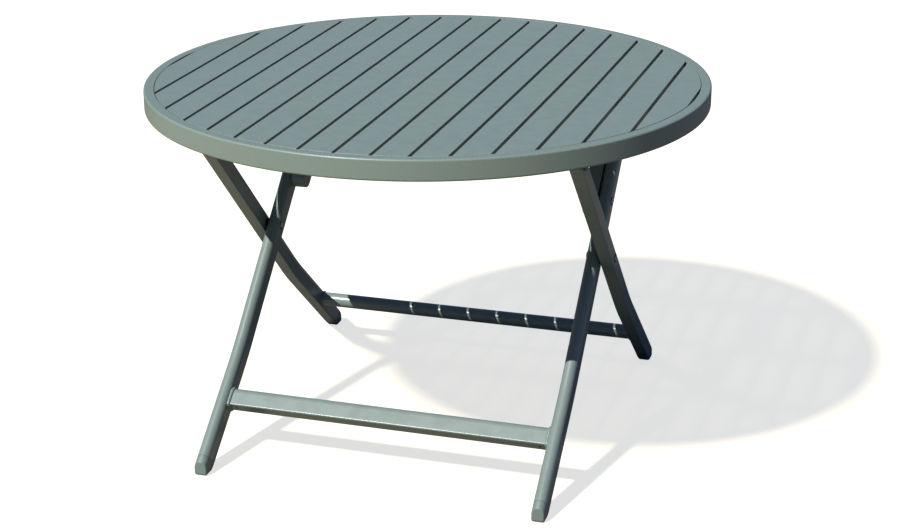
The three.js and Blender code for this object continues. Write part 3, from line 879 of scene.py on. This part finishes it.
# ---------- hinge brackets and saddles ----------
def make_bracket(side):
    """Pressed steel: a channel bent from sheet, its ears cut to shape and drilled."""
    node = f"hinge_bracket_{side}"
    low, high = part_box(node)
    sheet = EAR_THICKNESS
    plate = high.z - sheet
    outer = [(low.x, low.z - MM), (low.x, high.z), (high.x, high.z), (high.x, low.z - MM)]
    inner = [(high.x - sheet, low.z - MM), (high.x - sheet, plate), (low.x + sheet, plate),
             (low.x + sheet, low.z - MM)]
    bends = [0, BRACKET_BEND, BRACKET_BEND, 0, 0, BRACKET_INNER_BEND, BRACKET_INNER_BEND, 0]
    outline = rounded(outer + inner, bends)
    channel = skin([[Vector((x, y, z)) for x, z in outline] for y in (low.y, high.y)])
    bracket = new_object(f"{node}_made", *channel)
    ear = [(low.y - MM, high.z + MM), (low.y - MM, plate), (low.y, plate)]
    ear += [(HINGE.y + EAR_RADIUS * math.cos(a), HINGE.z + EAR_RADIUS * math.sin(a))
            for a in (math.pi + math.pi * i / EAR_STEPS for i in range(EAR_STEPS + 1))]
    ear += [(high.y, plate), (high.y + MM, plate), (high.y + MM, high.z + MM)]
    carved(bracket, [prism_x(ear, low.x - MM, high.x + MM)], "INTERSECT")
    carved(bracket, [drill(HINGE, (low.x + high.x) / 2, (high.x - low.x))])
    finish(soft_edges(bracket, BRACKET_EDGE), node)
    make_rivets(side, low, high, plate)


def make_rivets(side, low, high, plate):
    """Four low domes under the bracket's plate."""
    profile = [(plate + drop * MM, radius * MM)
               for drop, radius in ((0.2, 3.4), (-0.5, 3.3), (-1.2, 2.4), (-1.6, 1.1), (-1.7, 0.1))]
    rivets = []
    for y in (low.y + RIVET_INSET[1], high.y - RIVET_INSET[1]):
        for x in (low.x + RIVET_INSET[0], high.x - RIVET_INSET[0]):
            rings = [[Vector((x + p.x, y + p.y, z)) for p in disc(radius, RIVET_STEPS)]
                     for z, radius in profile]
            rivets.append(skin(rings))
    made = new_object(f"hinge_rivets_{side}", *joined(rivets))
    finish(made, f"hinge_bracket_{side}", replaced=False, slot="bolt_steel")


def make_saddle(side):
    """A moulded half-saddle over the crossbar, open on one side, with grooves between its ribs."""
    node = f"saddle_{side}"
    low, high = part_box(node)
    bar_low, bar_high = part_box("crossbar")
    reach = (bar_high.z - bar_low.z) / 2 + TOUCH_GAP
    y, z = CROSSBAR.y, CROSSBAR.z
    stop, stop_end, roof_end = y - reach - SADDLE_STOP, z - SADDLE_STOP_DROP, y + SADDLE_ROOF_OVERRUN
    profile = [(stop, high.z), (stop, stop_end), (y - reach, stop_end)]
    profile += [(y + reach * math.cos(a), z + reach * math.sin(a))
                for a in (math.pi - math.pi / 2 * i / SADDLE_ARC_STEPS for i in range(SADDLE_ARC_STEPS + 1))]
    profile += [(roof_end, z + reach), (roof_end, high.z)]
    saddle = new_object(f"{node}_made", *prism_x(profile, low.x, high.x))
    groove = [(low.y - MM, z + GROOVE_RISE), (low.y + GROOVE_DEPTH, z + GROOVE_RISE),
              (low.y + GROOVE_DEPTH, high.z - GROOVE_ROOF), (low.y - MM, high.z - GROOVE_ROOF)]
    grooves = [prism_x(groove, x - GROOVE_WIDTH / 2, x + GROOVE_WIDTH / 2)
               for x in (low.x + GROOVE_INSET, (low.x + high.x) / 2, high.x - GROOVE_INSET)]
    finish(soft_edges(carved(saddle, grooves), SADDLE_EDGE), node)


# ---------- assembly ----------
make_rim()
make_slats()
make_battens()
make_rails()
for side, sign in SIDES:
    low_bolt = middle(f"arm_bolt_low_{side}")
    high_bolt = middle(f"arm_bolt_high_{side}")
    make_leg("outer", LEGS["outer"], side, [PIVOT, HINGE])
    make_leg("inner", LEGS["inner"], side, [PIVOT, low_bolt, high_bolt])
    for name, leg in LEGS.items():
        make_cap(name, leg, side)
        make_foot(name, leg, side)
    make_bolt(f"pivot_bolt_{side}", PIVOT, sign, HEAD_HEIGHT)
    make_spacer(f"pivot_spacer_{side}", PIVOT, sign)
    make_nut(f"pivot_nut_{side}", PIVOT, sign)
    make_bolt(f"hinge_bolt_{side}", HINGE, sign, HEAD_HEIGHT)
    outer_face = middle(f"outer_leg_{side}").x + sign * LEG_WIDTH / 2
    inner_x = middle(f"inner_leg_{side}").x
    inner_face = inner_x + sign * LEG_WIDTH / 2
    # painted shade: black rings round the bolt heads and nuts darken the recess round each
    make_ring(f"pivot_head_ring_{side}", f"pivot_bolt_{side}", PIVOT, outer_face, sign)
    make_ring(f"pivot_nut_ring_{side}", f"pivot_nut_{side}", PIVOT, inner_x - sign * LEG_WIDTH / 2, -sign)
    for name, at in (("low", low_bolt), ("high", high_bolt)):
        make_bolt(f"arm_bolt_{name}_{side}", at, sign, LOW_HEAD_HEIGHT)
        make_ring(f"arm_bolt_ring_{name}_{side}", f"arm_bolt_{name}_{side}", at, inner_face, sign)
    make_arm(side, sign, [low_bolt, high_bolt])
    make_bracket(side)
    make_saddle(side)


# ---------- stage ----------
SUN_ENERGY = 4.3
SUN_COLOR = (1.0, 0.985, 0.95)
TABLE_SUN = {"towards": (-0.42, -0.79, 1.0), "softness": 0.3}
FLOOR_SUN = {"towards": (-0.45, -0.72, 1.0), "softness": 3.4}

SKY_COLOR = (0.33, 0.50, 1.0)
SKY_STRENGTH = 0.3
BACKDROP_COLOR = (1, 1, 1)

FLOOR_HALF = 30.0
FLOOR_DROP = 0.1 * MM
FLOOR_SUNNY = (0.38, 0.33, 0.24)
FLOOR_SHADY = (0.17, 0.155, 0.135)
FLOOR_SUNNY_SIDE = (-0.47, -0.88, 0)
FLOOR_GLOW = 0.60  # added where the camera sees the floor
FLOOR_GLOW_COLOR = (1.0, 1.0, 0.975)

CAMERA_PLACE = (1.12988, -3.47962, 1.66861)
CAMERA_YAW, CAMERA_PITCH, CAMERA_ROLL = -17.344, 20.197, -0.309
CAMERA_LENS = 77.08
SENSOR_WIDTH = 36


def floor_material():
    """Pale to the camera; to all other rays, darker on the side away from the sun."""
    nodes = Nodes("pale_floor")
    shader = nodes.shader.inputs
    camera_ray = nodes.tree.nodes.new("ShaderNodeLightPath").outputs["Is Camera Ray"]
    sunward = nodes.tree.nodes.new("ShaderNodeVectorMath")
    sunward.operation = "DOT_PRODUCT"
    sunward.inputs[1].default_value = FLOOR_SUNNY_SIDE
    nodes.link(nodes.place, sunward.inputs[0])
    sunny = nodes.spread(sunward.outputs["Value"], -0.2, 0.5, 0, 1)
    pale = nodes.maths("MAXIMUM", sunny, camera_ray)
    nodes.link(nodes.mix(pale, FLOOR_SHADY, FLOOR_SUNNY), shader["Base Color"])
    nodes.link(nodes.maths("MULTIPLY", camera_ray, FLOOR_GLOW), shader["Emission Strength"])
    shader["Emission Color"].default_value = (*FLOOR_GLOW_COLOR, 1)
    shader["Roughness"].default_value = 1.0
    shader["Specular IOR Level"].default_value = 0.0
    return nodes.material


def make_floor():
    half = FLOOR_HALF
    corners = [(-half, -half, 0), (half, -half, 0), (half, half, 0), (-half, half, 0)]
    floor = new_object("floor", corners, [(0, 1, 2, 3)])
    floor.location.z = -FLOOR_DROP
    floor.data.materials.append(floor_material())
    floor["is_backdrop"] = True
    return floor


def make_sun(name, towards, softness, lit):
    """A sun that shines only on the objects given."""
    sun = bpy.data.lights.new(name, "SUN")
    sun.energy = SUN_ENERGY
    sun.angle = math.radians(softness)
    sun.color = SUN_COLOR
    lamp = bpy.data.objects.new(name, sun)
    lamp.rotation_mode = "QUATERNION"
    lamp.rotation_quaternion = Vector(towards).to_track_quat("Z", "Y")
    bpy.context.scene.collection.objects.link(lamp)
    receivers = bpy.data.collections.new(f"{name}_receivers")
    for thing in lit:
        receivers.objects.link(thing)
    lamp.light_linking.receiver_collection = receivers


def make_sky():
    """A blue sky that lights the table, and a plain backdrop that the camera sees."""
    world = bpy.data.worlds.new("sky")
    bpy.context.scene.world = world
    world.use_nodes = True
    tree = world.node_tree
    sky = tree.nodes["Background"]
    sky.inputs["Color"].default_value = (*SKY_COLOR, 1)
    sky.inputs["Strength"].default_value = SKY_STRENGTH
    backdrop = tree.nodes.new("ShaderNodeBackground")
    backdrop.inputs["Color"].default_value = (*BACKDROP_COLOR, 1)
    path = tree.nodes.new("ShaderNodeLightPath")
    mix = tree.nodes.new("ShaderNodeMixShader")
    tree.links.new(path.outputs["Is Camera Ray"], mix.inputs[0])
    tree.links.new(sky.outputs[0], mix.inputs[1])
    tree.links.new(backdrop.outputs[0], mix.inputs[2])
    tree.links.new(mix.outputs[0], tree.nodes["World Output"].inputs["Surface"])


def make_camera():
    yaw, pitch, roll = (math.radians(angle) for angle in (CAMERA_YAW, CAMERA_PITCH, CAMERA_ROLL))
    forward = Vector((math.sin(yaw) * math.cos(pitch), math.cos(yaw) * math.cos(pitch), -math.sin(pitch)))
    level = Vector((math.cos(yaw), -math.sin(yaw), 0))
    upright = level.cross(forward)
    right = level * math.cos(roll) + upright * math.sin(roll)
    up = -level * math.sin(roll) + upright * math.cos(roll)
    camera = bpy.data.cameras.new("camera")
    camera.lens = CAMERA_LENS
    camera.sensor_width = SENSOR_WIDTH
    holder = bpy.data.objects.new("camera", camera)
    holder.matrix_world = Matrix((right, up, -forward)).transposed().to_4x4()
    holder.location = CAMERA_PLACE
    bpy.context.scene.collection.objects.link(holder)
    bpy.context.scene.camera = holder


floor = make_floor()
make_sun("sun", lit=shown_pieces(), **TABLE_SUN)
make_sun("soft_sun", lit=[floor], **FLOOR_SUN)
make_sky()
make_camera()
bpy.context.scene.view_settings.view_transform = "Standard"
bpy.context.scene.view_settings.look = "Medium High Contrast"
